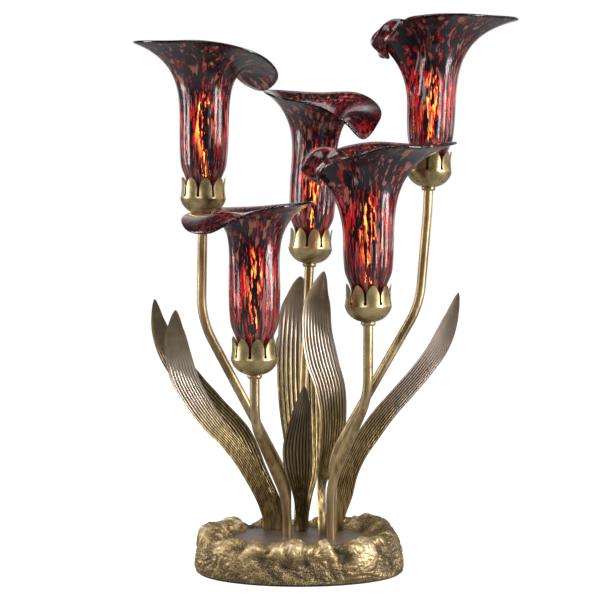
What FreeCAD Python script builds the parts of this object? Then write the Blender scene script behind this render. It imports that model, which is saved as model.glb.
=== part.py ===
import FreeCAD, Part
import math
import os
from FreeCAD import Rotation, Vector

# Table lamp with five blown glass lily shades on bent brass tubes. The tubes and six ribbed
# sheet-metal leaves stand in a flat plate that lies in an oval, rock-like cast foot.
# Millimetres. Origin: middle of the foot's underside. +Z up, the front faces -Y, +X right.

# --- foot ---------------------------------------------------------------------------------
base_length = 210.0
base_width = 134.0
felt_thickness = 2.0
felt_inset = 2.5
casting_wall = 6.0
lump_depth = 3.0            # how far the valleys between the rock lumps go in
lump_count = 11
rock_ring_side = 39.0       # from the casting's outline to the plate, at the ends
rock_ring_front = 18.0      # and at the front and back
plate_length = base_length - 2 * rock_ring_side
plate_width = base_width - 2 * rock_ring_front
plate_thickness = 3.0
plate_top = 36.0
plate_clearance = 0.3
ledge_width = 4.0
ledge_thickness = 4.0
cover_thickness = 1.5
cover_clearance = 0.4
ballast_length = plate_length - 20.0
ballast_width = plate_width - 14.0
ballast_height = 9.0
board_length = 60.0
board_width = 56.0
board_thickness = 4.0
board_centre = (10.0, 12.0)
post_radius = 5.0
post_points = [(66.0, 29.0), (-66.0, 29.0), (-66.0, -29.0), (66.0, -29.0)]
cover_screw_radius = 1.75
cover_screw_head_radius = 3.2
cover_screw_length = 12.0
plate_screw_radius = 1.5
plate_screw_head_radius = 2.8
plate_screw_head_height = 1.6
plate_screw_bite = 2.0      # thread inside the plate
screw_clearance = 0.1
inlet_height = 14.0
inlet_radius = 5.5
inlet_bore_radius = 3.4
inlet_flange_radius = 8.5
inlet_flange_thickness = 2.0
inlet_length = 11.0

# crest of the rock ring above the plate, by azimuth in degrees (0 right, 90 back, 270 front)
crest_rise = [(0, 10), (30, 12), (60, 6), (90, 4), (120, 5), (150, 10), (180, 14), (205, 2),
              (230, -1), (270, -1), (310, -1), (335, 3)]

# --- stems --------------------------------------------------------------------------------
stem_radius = 4.75
stem_bore_radius = 3.55
stem_hole_clearance = 0.1
stem_below_plate = 8.0
stem_above_cup = 8.0
washer_radius = 7.8
washer_thickness = 1.0
stem_nut_across_flats = 14.0
stem_nut_height = 5.0
lead_clearance = 0.55
lead_drop = 6.0             # lead that hangs out under the stem

# --- cups ---------------------------------------------------------------------------------
cup_radius = 23.0
cup_floor_radius = 7.0
cup_crease_height = 15.5
cup_thickness = 1.0
petal_count = 9
petal_waist_radius = 21.6
petal_waist_height = 27.0
petal_tip_radius = 22.4
petal_tip_height = 36.0
petal_slot_width = 2.4
petal_slot_hole_radius = 1.6
vent_radius = 1.5
vent_count = 4
collar_wall = 2.45
collar_height = 4.0
cup_nut_across_flats = 12.0
cup_nut_height = 3.0

# --- lamp holder and bulb -----------------------------------------------------------------
seat_gap = 0.3
socket_radius = 10.5
socket_height = 30.0
socket_floor = 6.0
bulb_cap_radius = 6.0
bulb_cap_clearance = 0.08
bulb_cap_length = 16.0
bulb_crimp_radius = 7.0
bulb_crimp_height = 3.0
bulb_radius = 12.4         # slim enough for the glass neck to pass over it
bulb_length = 90.0          # glass only
bulb_glass_wall = 0.8
filament_radius = 0.9
filament_length = 31.0
filament_spread = 5.0

# --- shades -------------------------------------------------------------------------------
glass_wall = 2.5
neck_radius = 15.5
neck_mouth_radius = 17.2    # neck where it leaves the cup
tube_radius = 24.5
tube_start_height = 47.0    # height at which the neck has opened into the tube
flare_start_height = 80.0

# --- leaves -------------------------------------------------------------------------------
leaf_thickness = 1.2
leaf_slot_clearance = 0.6
leaf_below_plate = 3.0
leaf_foot_rise = 5.0        # height over the plate at which the stalk is upright

# Each lamp: its stem's bend points from foot to cup floor, the radii of its bends, and its
# rim as (azimuth, reach from the axis, height over the cup floor, lip angle from upright).
lamps = {
    "upper_left": dict(
        stem=[(-13.0, 14.0), (-13.0, 14.0, 91.0), (-99.0, 8.0, 255.5), (-97.0, 8.0, 362.0)],
        bends=[60.0, 95.0],
        rim=[(0, 70, 141, 120), (30, 66, 155, 100), (60, 62, 163, 80), (120, 62, 167, 65),
             (180, 71, 170, 62), (240, 60, 162, 75), (285, 60, 146, 110), (320, 66, 123, 155)]),
    "back": dict(
        stem=[(-1.0, 33.0), (-1.0, 33.0, 46.0), (5.2, 72.0, 202.0), (10.5, 76.0, 309.0)],
        bends=[40.0, 120.0],
        rim=[(15, 72, 168, 85), (45, 66, 180, 60), (90, 58, 181, 50), (135, 60, 181, 50),
             (180, 56, 175, 60), (225, 55, 164, 70), (270, 55, 153, 85), (300, 56, 139, 115),
             (322, 60, 129, 150), (345, 70, 147, 125)]),
    "upper_right": dict(
        stem=[(34.2, 17.0), (34.2, 17.0, 116.0), (123.0, 35.0, 268.5), (130.8, 35.0, 366.0),
              (131.5, 35.0, 389.0)],
        bends=[60.0, 90.0, 90.0],
        rim=[(0, 84, 170, 75), (40, 66, 168, 70), (90, 60, 167, 70), (140, 62, 162, 90),
             (180, 63, 149, 140), (212, 60, 134, 165), (240, 56, 150, 110), (270, 60, 163, 80),
             (320, 68, 168, 70)]),
    "lower_right": dict(
        stem=[(31.6, -10.0), (31.6, -10.0, 91.0), (66.5, -58.0, 185.5), (66.5, -58.0, 259.0)],
        bends=[60.0, 70.0],
        rim=[(0, 84, 171, 72), (40, 66, 170, 66), (90, 60, 173, 60), (135, 60, 162, 85),
             (180, 58, 141, 140), (210, 58, 130, 160), (240, 58, 150, 115), (270, 58, 164, 78),
             (320, 66, 165, 68)]),
    "lower_left": dict(
        stem=[(-12.6, -2.0), (-12.6, -2.0, 73.5), (-43.0, -75.0, 161.0), (-43.0, -75.0, 209.5)],
        bends=[60.0, 50.0],
        rim=[(0, 56, 164, 60), (45, 60, 162, 65), (90, 58, 158, 72), (135, 62, 156, 80),
             (180, 68, 148, 105), (215, 66, 134, 140), (240, 64, 130, 150), (265, 58, 142, 120),
             (295, 56, 155, 90), (330, 56, 162, 68)]),
}

# Each leaf from its tip down: (x, y, z, half its width measured level across it); then its
# foot in the plate (x, y, half width) and how deep its channel is for its half width.
leaves = {
    "left_back": dict(channel=0.25, foot=(-15.5, 37.0, 6.0), stations=[
        (-147.7, 26.0, 275.0, 1.5), (-144.0, 26.0, 251.0, 7.6), (-134.0, 27.0, 222.5, 12.3),
        (-112.5, 28.0, 191.5, 16.9), (-94.0, 29.0, 170.5, 17.4), (-66.0, 30.5, 139.0, 16.4),
        (-45.0, 33.0, 97.5, 12.9), (-32.0, 35.0, 74.0, 10.0), (-21.0, 37.5, 53.0, 7.0)]),
    "left_front": dict(channel=0.25, foot=(-27.5, 30.0, 9.0), stations=[
        (-122.0, -30.0, 268.0, 1.5), (-122.3, -28.0, 246.0, 9.4), (-119.5, -25.0, 221.0, 13.4),
        (-113.0, -21.0, 197.5, 14.4), (-101.5, -16.0, 175.0, 14.5), (-85.0, -8.0, 150.5, 13.5),
        (-67.0, 0.0, 129.0, 12.3), (-51.0, 10.0, 105.0, 11.5), (-41.0, 18.0, 82.5, 9.5),
        (-32.0, 26.0, 59.5, 9.2)]),
    "tall_back": dict(channel=0.25, foot=(2.5, 43.0, 6.8), stations=[
        (1.0, 96.0, 294.0, 1.5), (0.5, 98.0, 266.5, 18.0), (-0.5, 97.0, 231.5, 22.4),
        (-0.8, 91.0, 194.5, 23.1), (0.5, 81.0, 158.5, 22.2), (3.0, 68.5, 123.0, 19.5),
        (5.0, 56.5, 93.0, 15.5), (3.5, 48.5, 68.0, 10.0)]),
    "tall_front": dict(channel=0.25, foot=(23.5, 5.0, 4.4), stations=[
        (25.0, 40.0, 302.5, 1.5), (18.5, 38.0, 273.0, 12.8), (18.0, 37.0, 242.0, 15.4),
        (23.5, 36.0, 211.0, 17.0), (31.0, 35.0, 185.5, 15.9), (34.5, 34.5, 158.0, 13.9),
        (33.5, 33.0, 131.5, 12.0), (29.5, 29.0, 107.0, 9.5), (23.0, 22.0, 87.0, 5.0),
        (22.5, 13.0, 66.0, 4.4)]),
    "short_front": dict(channel=0.45, foot=(1.5, 24.0, 5.6), stations=[
        (5.0, -4.0, 189.5, 1.5), (3.5, -3.0, 173.0, 7.0), (0.2, -2.0, 149.5, 11.8),
        (-2.2, 0.0, 126.0, 14.8), (-1.5, 3.0, 105.0, 13.6), (0.5, 9.0, 83.0, 8.6),
        (1.5, 17.5, 61.0, 5.8)]),
    "right": dict(channel=0.25, foot=(38.0, 27.5, 6.4), stations=[
        (158.0, -15.0, 284.0, 1.5), (150.0, -13.0, 256.5, 8.0), (138.0, -10.0, 228.5, 11.5),
        (122.0, -6.0, 205.0, 12.5), (105.0, -1.0, 184.0, 13.1), (87.5, 4.0, 163.0, 13.1),
        (71.0, 10.0, 139.5, 12.7), (57.5, 16.0, 115.0, 10.4), (49.5, 22.0, 93.5, 9.8),
        (45.0, 26.0, 73.0, 9.6), (40.2, 27.5, 52.0, 7.2)]),
}

up = Vector(0, 0, 1)
os.makedirs("parts", exist_ok=True)


def save(name, *solids):
    """Write one node; several like pieces go in one file as separate solids."""
    shape = solids[0] if len(solids) == 1 else Part.makeCompound(list(solids))
    shape.exportStep("parts/%s.step" % name)


def around(keys, azimuth):
    """Smooth values at an azimuth between keys (azimuth, value, ...) that go round once."""
    count = len(keys)
    index = max((i for i in range(count) if keys[i][0] <= azimuth), default=count - 1)
    at = [keys[(index + step) % count] for step in (-1, 0, 1, 2)]
    spans = [(at[i + 1][0] - at[i][0]) % 360 for i in range(3)]
    t = ((azimuth - at[1][0]) % 360) / spans[1]
    values = []
    for column in range(1, len(keys[0])):
        before, here, there, after = [row[column] for row in at]
        slope_here = (there - before) / (spans[0] + spans[1]) * spans[1]
        slope_there = (after - here) / (spans[1] + spans[2]) * spans[1]
        values.append(here * (1 + 2 * t) * (1 - t) ** 2 + slope_here * t * (1 - t) ** 2
                      + there * t * t * (3 - 2 * t) - slope_there * t * t * (1 - t))
    return values


def closed_ring(point_at, count):
    """Closed smooth wire through points given by azimuth in degrees."""
    curve = Part.BSplineCurve()
    points = [point_at(360.0 * i / count) for i in range(count)]
    curve.interpolate(Points=points, PeriodicFlag=True)
    return Part.Wire([curve.toShape()])


def solid_through(faces):
    """Solid bounded by faces that meet edge to edge."""
    shell = Part.makeShell(faces)
    shell.sewShape()
    solid = Part.makeSolid(shell)
    if solid.Volume < 0:
        solid.reverse()
    return solid


def ellipse_wire(length, width, height):
    """Level oval about the Z axis."""
    return Part.Wire([Part.Ellipse(Vector(0, 0, height), length / 2, width / 2).toShape()])


def ellipse_disc(length, width, low, height):
    """Upright oval disc about the Z axis."""
    return Part.Face(ellipse_wire(length, width, low)).extrude(Vector(0, 0, height))


def hex_nut(across_flats, bore_radius, height, low):
    """Hexagonal nut on the Z axis."""
    corner = across_flats / 2 / math.cos(math.radians(30))
    points = [Vector(corner * math.cos(math.radians(60 * i)), corner * math.sin(math.radians(60 * i)), low)
              for i in range(7)]
    body = Part.Face(Part.makePolygon(points)).extrude(up * height)
    return body.cut(Part.makeCylinder(bore_radius, height, up * low))


def ring(outer, inner, height, low):
    """Flat ring on the Z axis."""
    hole = Part.makeCylinder(inner, height, up * low)
    return Part.makeCylinder(outer, height, up * low).cut(hole)


def lathe(edges):
    """Solid turned about the Z axis from a closed profile in the XZ plane."""
    return Part.Face(Part.Wire(Part.__sortEdges__(edges))).revolve(Vector(), up, 360)


# ==========================================================================================
# Foot
# ==========================================================================================

def crest_height(azimuth):
    """Height of the rock ring's crest: the wide rise by azimuth and a small one per lump."""
    lump = math.cos(math.radians(lump_count * azimuth + 40))
    return plate_top + around(crest_rise, azimuth)[0] + 1.5 * lump


def oval_ring(length, width, height):
    """Level ring of the casting, with the same corners as its rock skin."""
    def point(azimuth):
        turn = math.radians(azimuth)
        return Vector(length / 2 * math.cos(turn), width / 2 * math.sin(turn), height)
    return closed_ring(point, 5 * lump_count)


def rock_ring(across, climb, swell, settle):
    """Ring of the casting's skin: share of the way in to the plate, share of the crest's
    height, how much of the lump depth shows, and how far it has settled to the plate's level."""
    opening_x = plate_length / 2 + plate_clearance
    opening_y = plate_width / 2 + plate_clearance
    rim_height = plate_top - plate_thickness / 5

    def point(azimuth):
        turn = math.radians(azimuth)
        valley = lump_depth * swell * (0.5 + 0.5 * math.cos(math.radians(lump_count * azimuth + 220)))
        outer_x = base_length / 2 - valley
        outer_y = base_width / 2 - valley
        x = (outer_x + (opening_x - outer_x) * across) * math.cos(turn)
        y = (outer_y + (opening_y - outer_y) * across) * math.sin(turn)
        z = felt_thickness + (crest_height(azimuth) - felt_thickness) * climb
        return Vector(x, y, z + (rim_height - z) * settle)
    return closed_ring(point, 5 * lump_count)


plate_bottom = plate_top - plate_thickness
cavity_top = plate_bottom - ledge_thickness
cover_top = felt_thickness + cover_thickness
cavity_mouth_length = base_length - 2 * (casting_wall + lump_depth)
cavity_mouth_width = base_width - 2 * (casting_wall + lump_depth)
ledge_length = plate_length - 2 * ledge_width
ledge_breadth = plate_width - 2 * ledge_width
inlet_seat = base_width / 2 - lump_depth - 1.0
screw_orbit = (plate_length / 2 - ledge_width / 2, plate_width / 2 - ledge_width / 2)
plate_screw_points = [(screw_orbit[0] * math.cos(math.radians(a)), screw_orbit[1] * math.sin(math.radians(a)))
                      for a in (0, 60, 180, 240)]


def plate_screw(x, y):
    """Round-head screw up through the ledge into the plate's underside."""
    low = cavity_top
    shank_height = ledge_thickness + plate_screw_bite
    head = Part.makeCylinder(plate_screw_head_radius, plate_screw_head_height,
                             Vector(x, y, low - plate_screw_head_height))
    return head.fuse(Part.makeCylinder(plate_screw_radius, shank_height, Vector(x, y, low))).removeSplitter()


def cover_screw(x, y):
    """Countersunk screw, flush under the cover, into a post of the casting."""
    head = Part.makeCone(cover_screw_head_radius, cover_screw_radius, cover_thickness,
                         Vector(x, y, felt_thickness))
    shank = Part.makeCylinder(cover_screw_radius, cover_screw_length - cover_thickness,
                            Vector(x, y, cover_top))
    return head.fuse(shank).removeSplitter()


def base_casting():
    """Hollow oval casting: rock ring outside, ledge for the plate, posts for the cover."""
    rings = [rock_ring(*station) for station in (
        (0.00, 0.00, 0.6, 0), (0.00, 0.28, 1.0, 0), (0.03, 0.52, 1.0, 0), (0.10, 0.76, 0.9, 0),
        (0.20, 0.91, 0.7, 0), (0.34, 0.99, 0.5, 0), (0.55, 1.00, 0.4, 0.1), (0.80, 0.97, 0.2, 0.5),
        (1.00, 0.90, 0.0, 1))]
    rings += [oval_ring(*oval) for oval in (
        (plate_length + 2 * plate_clearance, plate_width + 2 * plate_clearance, plate_bottom),
        (ledge_length, ledge_breadth, plate_bottom),
        (ledge_length, ledge_breadth, cavity_top),
        (cavity_mouth_length - 10, cavity_mouth_width - 10, cavity_top),
        (cavity_mouth_length, cavity_mouth_width, felt_thickness))]
    faces = []
    for ring_wire, next_wire in zip(rings, rings[1:] + rings[:1]):
        faces += Part.makeRuledSurface(ring_wire.Edges[0], next_wire.Edges[0]).Faces
    body = solid_through(faces)
    for x, y in post_points:
        post = Part.makeCylinder(post_radius, cavity_top - cover_top + 1, Vector(x, y, cover_top))
        body = body.fuse(post)
        body = body.cut(Part.makeCylinder(cover_screw_radius, cover_screw_length,
                                          Vector(x, y, cover_top - 1)))
    for x, y in plate_screw_points:
        body = body.cut(Part.makeCylinder(plate_screw_radius + screw_clearance, ledge_thickness + 2,
                                          Vector(x, y, cavity_top - 1)))
    seat = Part.makeCylinder(inlet_flange_radius + 0.5, 20,
                             Vector(0, inlet_seat, inlet_height), Vector(0, 1, 0))
    hole = Part.makeCylinder(inlet_radius + 0.1, 40,
                             Vector(0, inlet_seat - 30, inlet_height), Vector(0, 1, 0))
    return body.cut(seat).cut(hole).removeSplitter()


def base_plate():
    """Flat oval plate with a hole for each stem and a slot for each leaf."""
    plate = ellipse_disc(plate_length, plate_width, plate_bottom, plate_thickness)
    for lamp in lamps.values():
        x, y = lamp["stem"][0]
        plate = plate.cut(Part.makeCylinder(stem_radius + stem_hole_clearance, plate_thickness + 2,
                                            Vector(x, y, plate_bottom - 1)))
    for leaf in leaves.values():
        x, y, half_width = leaf["foot"]
        depth = leaf["channel"] * half_width
        wide = 2 * (half_width + leaf_slot_clearance)
        deep = depth + leaf_thickness + 2 * leaf_slot_clearance
        corner = Vector(x - wide / 2, y - depth - leaf_slot_clearance, plate_bottom - 1)
        plate = plate.cut(Part.makeBox(wide, deep, plate_thickness + 2, corner))
    for x, y in plate_screw_points:
        plate = plate.cut(Part.makeCylinder(plate_screw_radius, plate_screw_bite, Vector(x, y, plate_bottom)))
    return plate


def bottom_cover():
    """Thin oval sheet that closes the foot, countersunk for its screws."""
    cover = ellipse_disc(cavity_mouth_length - 2 * cover_clearance - 1,
                         cavity_mouth_width - 2 * cover_clearance - 1,
                         felt_thickness, cover_thickness)
    for x, y in post_points:
        cover = cover.cut(Part.makeCone(cover_screw_head_radius, cover_screw_radius, cover_thickness,
                                        Vector(x, y, felt_thickness)))
    return cover


def cord_inlet_bush():
    """Bush with a flange in the back wall of the foot, where the supply lead goes in."""
    along = Vector(0, 1, 0)
    flange = Part.makeCylinder(inlet_flange_radius, inlet_flange_thickness,
                               Vector(0, inlet_seat, inlet_height), along)
    barrel = Part.makeCylinder(inlet_radius, inlet_length,
                              Vector(0, inlet_seat - inlet_length, inlet_height), along)
    bore = Part.makeCylinder(inlet_bore_radius, inlet_length + 10,
                             Vector(0, inlet_seat - inlet_length - 1, inlet_height), along)
    return flange.fuse(barrel).cut(bore).removeSplitter()


board_low = cover_top + ballast_height
save("felt_pad", ellipse_disc(base_length - 2 * felt_inset, base_width - 2 * felt_inset, 0, felt_thickness))
save("base_casting", base_casting())
save("base_plate", base_plate())
save("bottom_cover", bottom_cover())
save("cover_screws", *[cover_screw(x, y) for x, y in post_points])
save("plate_screws", *[plate_screw(x, y) for x, y in plate_screw_points])
save("ballast_weight", ellipse_disc(ballast_length, ballast_width, cover_top, ballast_height))
save("terminal_board", Part.makeBox(board_length, board_width, board_thickness,
                                    Vector(board_centre[0] - board_length / 2,
                                           board_centre[1] - board_width / 2,
                                           board_low)))
save("cord_inlet_bush", cord_inlet_bush())


# ==========================================================================================
# Stems
# ==========================================================================================

def bent_path(points, radii):
    """Straight runs through the points, joined by tangent arcs of the given radii."""
    edges = []
    start = points[0]
    for before, corner, after, radius in zip(points, points[1:], points[2:], radii):
        arriving = (corner - before).normalize()
        leaving = (after - corner).normalize()
        half_turn = arriving.getAngle(leaving) / 2
        reach = radius * math.tan(half_turn)
        first = corner - arriving * reach
        last = corner + leaving * reach
        inward = (leaving - arriving).normalize()
        middle = corner + inward * (radius / math.cos(half_turn) - radius)
        edges.append(Part.LineSegment(start, first).toShape())
        edges.append(Part.Arc(first, middle, last).toShape())
        start = last
    edges.append(Part.LineSegment(start, points[-1]).toShape())
    return Part.Wire(edges)


def tube_along(path, outer, inner=None):
    """Round tube or rod along a path that starts straight up."""
    start = path.Vertexes[0].Point
    section = Part.Face(Part.Wire([Part.makeCircle(outer, start, up)]))
    if inner:
        section = section.cut(Part.Face(Part.Wire([Part.makeCircle(inner, start, up)])))
    return path.makePipe(section)


def lamp_axis(lamp):
    """Direction of a lamp's cup: that of the last run of its stem."""
    return (Vector(*lamp["stem"][-1]) - Vector(*lamp["stem"][-2])).normalize()


def seated(shape, lamp):
    """Copy of a piece that was made on the Z axis with the cup floor at 0, in its place."""
    placed = shape.copy()
    turn = Rotation(up, lamp_axis(lamp))
    placed.Placement = FreeCAD.Placement(Vector(*lamp["stem"][-1]), turn)
    return placed


def stem_path(lamp, below, above):
    """Path of a stem from a height under the plate to a height over the cup floor."""
    x, y = lamp["stem"][0]
    bends = [Vector(*point) for point in lamp["stem"][1:-1]]
    top = Vector(*lamp["stem"][-1]) + lamp_axis(lamp) * above
    return bent_path([Vector(x, y, below)] + bends + [top], lamp["bends"])


stem_end = plate_bottom - stem_below_plate
for place, lamp in lamps.items():
    save("stem_" + place,
         tube_along(stem_path(lamp, stem_end, stem_above_cup), stem_radius, stem_bore_radius))

washer = ring(washer_radius, stem_radius + stem_hole_clearance,
              washer_thickness, plate_bottom - washer_thickness)
stem_nut = hex_nut(stem_nut_across_flats, stem_radius + stem_hole_clearance, stem_nut_height,
                   plate_bottom - washer_thickness - stem_nut_height)
feet = [Vector(*lamp["stem"][0], 0) for lamp in lamps.values()]
save("stem_nuts", *[stem_nut.translated(foot) for foot in feet])
save("stem_leads", *[tube_along(stem_path(lamp, stem_end - lead_drop, stem_above_cup - 2),
                                stem_bore_radius - lead_clearance) for lamp in lamps.values()])


# ==========================================================================================
# Leaves
# ==========================================================================================

def leaf_section(centre, along, half_width, depth):
    """Closed section of a channel of sheet metal: front arc, back arc and two edges."""
    toward_front = Vector(0, -1, 0)
    facing = (toward_front - along * toward_front.dot(along)).normalize()
    across = along.cross(facing).normalize()
    left = centre - across * half_width + facing * depth
    right = centre + across * half_width + facing * depth
    back = facing * -leaf_thickness
    return Part.Wire([
        Part.Arc(left, centre, right).toShape(),
        Part.LineSegment(right, right + back).toShape(),
        Part.Arc(right + back, centre + back, left + back).toShape(),
        Part.LineSegment(left + back, left).toShape()])


def leaf_solid(leaf):
    """Leaf lofted from its tip to its stalk, which goes down through the plate."""
    foot_x, foot_y, foot_half_width = leaf["foot"]
    rows = [(Vector(x, y, z), half_width) for x, y, z, half_width in leaf["stations"]]
    for height in (plate_top + leaf_foot_rise, plate_top, plate_bottom, plate_bottom - leaf_below_plate):
        rows.append((Vector(foot_x, foot_y, height), foot_half_width))
    sections = []
    last = len(rows) - 1
    for i, (centre, level_half_width) in enumerate(rows):
        if i >= last - 2:
            along = Vector(up)
        else:
            along = (rows[max(i - 1, 0)][0] - rows[i + 1][0]).normalize()
        half_width = level_half_width * along.z / math.hypot(along.x, along.z)
        sections.append(leaf_section(centre, along, half_width, leaf["channel"] * half_width))
    return Part.makeLoft(sections, True, False)


for place, leaf in leaves.items():
    save("leaf_" + place, leaf_solid(leaf))


# ==========================================================================================
# Cups, collars and lamp holders
# ==========================================================================================

def rz(radius, height):
    """Point of a turned profile."""
    return Vector(radius, 0, height)


def line(start, end):
    return Part.LineSegment(start, end).toShape()


# The bowl's arc bulges below the straight line from its floor to its crease.
bowl_start = rz(cup_floor_radius, 0)
bowl_end = rz(cup_radius, cup_crease_height)
bowl_middle = (bowl_start + bowl_end) * 0.5 + rz(2.4, -2.5)
bowl_arc = Part.Arc(bowl_start, bowl_middle, bowl_end).toShape()
bowl_centre = bowl_arc.Curve.Center
bowl_radius = bowl_arc.Curve.Radius
bowl_outward = (bowl_middle - bowl_centre).normalize()


def petal_slot():
    """Gap between two petals, cut from outside: a round hole, a slot, then an opening arch."""
    half = petal_slot_width / 2
    slot_top = petal_waist_height - 3.0
    hole_height = cup_crease_height + 1.5 + petal_slot_hole_radius
    half_pitch = petal_tip_radius * math.sin(math.pi / petal_count)
    reach = cup_radius + 2

    def on_wall(across, height):
        return Vector(reach, across, height)

    top = petal_tip_height + 0.5
    shoulder = petal_waist_height + 4.0
    outline = Part.Wire([
        line(on_wall(-half, hole_height), on_wall(half, hole_height)),
        line(on_wall(half, hole_height), on_wall(half, slot_top)),
        Part.Arc(on_wall(half, slot_top), on_wall(0.35 * half_pitch, shoulder),
                 on_wall(half_pitch, top)).toShape(),
        line(on_wall(half_pitch, top), on_wall(-half_pitch, top)),
        Part.Arc(on_wall(-half_pitch, top), on_wall(-0.35 * half_pitch, shoulder),
                 on_wall(-half, slot_top)).toShape(),
        line(on_wall(-half, slot_top), on_wall(-half, hole_height))])
    inward = Vector(-reach / 2, 0, 0)
    hole = Part.makeCylinder(petal_slot_hole_radius, reach / 2, on_wall(0, hole_height), Vector(-1, 0, 0))
    return Part.Face(outline).extrude(inward).fuse(hole)


def petal_cup():
    """Spun bowl whose wall is cut into pointed petals, with vent holes and a stem hole."""
    t = cup_thickness
    inner_floor = bowl_centre.x + math.sqrt((bowl_radius - t) ** 2 - (bowl_centre.z - t) ** 2)
    bore = stem_radius + stem_hole_clearance
    profile = [
        line(rz(bore, 0), bowl_start),
        bowl_arc,
        Part.Arc(bowl_end, rz(petal_waist_radius, petal_waist_height),
                 rz(petal_tip_radius, petal_tip_height)).toShape(),
        line(rz(petal_tip_radius, petal_tip_height), rz(petal_tip_radius - t, petal_tip_height)),
        Part.Arc(rz(petal_tip_radius - t, petal_tip_height), rz(petal_waist_radius - t, petal_waist_height),
                 rz(cup_radius - t, cup_crease_height)).toShape(),
        Part.Arc(rz(cup_radius - t, cup_crease_height), bowl_middle - bowl_outward * t,
                 rz(inner_floor, t)).toShape(),
        line(rz(inner_floor, t), rz(bore, t)),
        line(rz(bore, t), rz(bore, 0))]
    cup = lathe(profile)
    slot = petal_slot()
    cuts = [slot.rotated(Vector(), up, 360.0 * (i + 0.5) / petal_count) for i in range(petal_count)]
    vent = Part.makeCylinder(vent_radius, 8, bowl_middle - bowl_outward * 4, bowl_outward)
    cuts += [vent.rotated(Vector(), up, 45 + 360.0 * i / vent_count) for i in range(vent_count)]
    return cup.cut(cuts)


def stem_collar():
    """Turned ring with a rounded flank, between the stem and the cup's floor."""
    bore = stem_radius + stem_hole_clearance
    outer = stem_radius + collar_wall
    foot = rz(outer - 1.4, -collar_height)
    flank = rz(outer, -collar_height / 2)
    top = rz(outer - 0.4, 0)
    return lathe([line(rz(bore, -collar_height), foot), Part.Arc(foot, flank, top).toShape(),
                  line(top, rz(bore, 0)), line(rz(bore, 0), rz(bore, -collar_height))])


socket_low = cup_thickness + cup_nut_height
socket_well = socket_low + max(socket_floor, stem_above_cup - socket_low + 2)
socket_top = socket_well + socket_height - socket_floor


def lamp_holder():
    """Moulded candle-lamp holder, screwed on the stem's end, with a well for the bulb cap."""
    body = Part.makeCylinder(socket_radius, socket_top - socket_low, up * socket_low)
    well = Part.makeCylinder(bulb_cap_radius + bulb_cap_clearance, socket_top, up * socket_well)
    thread = Part.makeCylinder(stem_radius + stem_hole_clearance, stem_above_cup - socket_low + 0.5,
                               up * socket_low)
    return body.cut([well, thread])


cup = petal_cup()
collar = stem_collar()
holder = lamp_holder()
cup_nut = hex_nut(cup_nut_across_flats, stem_radius + stem_hole_clearance, cup_nut_height, cup_thickness)
for place, lamp in lamps.items():
    save("cup_" + place, seated(cup, lamp))
    save("lamp_holder_" + place, seated(holder, lamp))
save("collars", *[seated(collar, lamp) for lamp in lamps.values()])
save("cup_nuts", *[seated(cup_nut, lamp) for lamp in lamps.values()])
save("stem_washers", *[washer.translated(foot) for foot in feet])


# ==========================================================================================
# Bulbs
# ==========================================================================================

cap_low = socket_well + seat_gap
crimp_low = max(cap_low + bulb_cap_length + 2, socket_top + seat_gap)
crimp_top = crimp_low + bulb_crimp_height


def bulb_cap():
    """Screw cap of the bulb with its centre contact and the crimped ring above it."""
    contact = Part.makeCone(bulb_cap_radius / 3, bulb_cap_radius * 0.8, 3, up * cap_low)
    shell = Part.makeCylinder(bulb_cap_radius, crimp_low - cap_low - 3, up * (cap_low + 3))
    crimp = Part.makeCone(bulb_cap_radius, bulb_crimp_radius, bulb_crimp_height, up * crimp_low)
    return contact.fuse([shell, crimp]).removeSplitter()


def bulb_outline(inset):
    """Profile of the candle-shaped glass, moved in by a wall: share of length, share of radius."""
    shares = [(0.0, 0.42), (0.12, 0.58), (0.28, 0.86), (0.48, 1.0), (0.66, 0.9), (0.82, 0.6), (0.93, 0.26)]
    points = [rz(share * bulb_radius - inset, crimp_top + along * bulb_length) for along, share in shares]
    curve = Part.BSplineCurve()
    curve.interpolate(points + [rz(0, crimp_top + bulb_length - inset)])
    return curve


def bulb_glass():
    """Thin blown envelope, open at the bottom where the cap holds it."""
    outer = bulb_outline(0.0)
    inner = bulb_outline(bulb_glass_wall)
    return lathe([outer.toShape(), inner.toShape(),
                  line(outer.StartPoint, inner.StartPoint), line(inner.EndPoint, outer.EndPoint)])


def filaments():
    """Glass mount on the cap, its support wires and two upright filament rods."""
    mount_top = crimp_top + 0.26 * bulb_length
    rod_low = crimp_top + 0.47 * bulb_length
    rod_high = rod_low + filament_length
    wire = 0.4
    pieces = [Part.makeCone(3.0, 1.4, mount_top - crimp_top, up * crimp_top),
              Part.makeCylinder(wire, rod_high - mount_top + 2, up * (mount_top - 1))]
    for side in (-1, 1):
        foot = rz(side * filament_spread, rod_low)
        head = rz(side * filament_spread, rod_high)
        pieces.append(Part.makeCylinder(filament_radius, filament_length, foot))
        low_start = rz(0, mount_top - 1)
        pieces.append(Part.makeCylinder(wire, (foot - low_start).Length, low_start, foot - low_start))
        high_end = rz(0, rod_high + 0.6)
        pieces.append(Part.makeCylinder(wire, (high_end - head).Length, head, high_end - head))
    return pieces[0].fuse(pieces[1:])


cap = bulb_cap()
envelope = bulb_glass()
filament_pair = filaments()
for place, lamp in lamps.items():
    save("bulb_cap_" + place, seated(cap, lamp))
    save("bulb_glass_" + place, seated(envelope, lamp))
    save("bulb_filaments_" + place, seated(filament_pair, lamp))


# ==========================================================================================
# Glass shades
# ==========================================================================================

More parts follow.
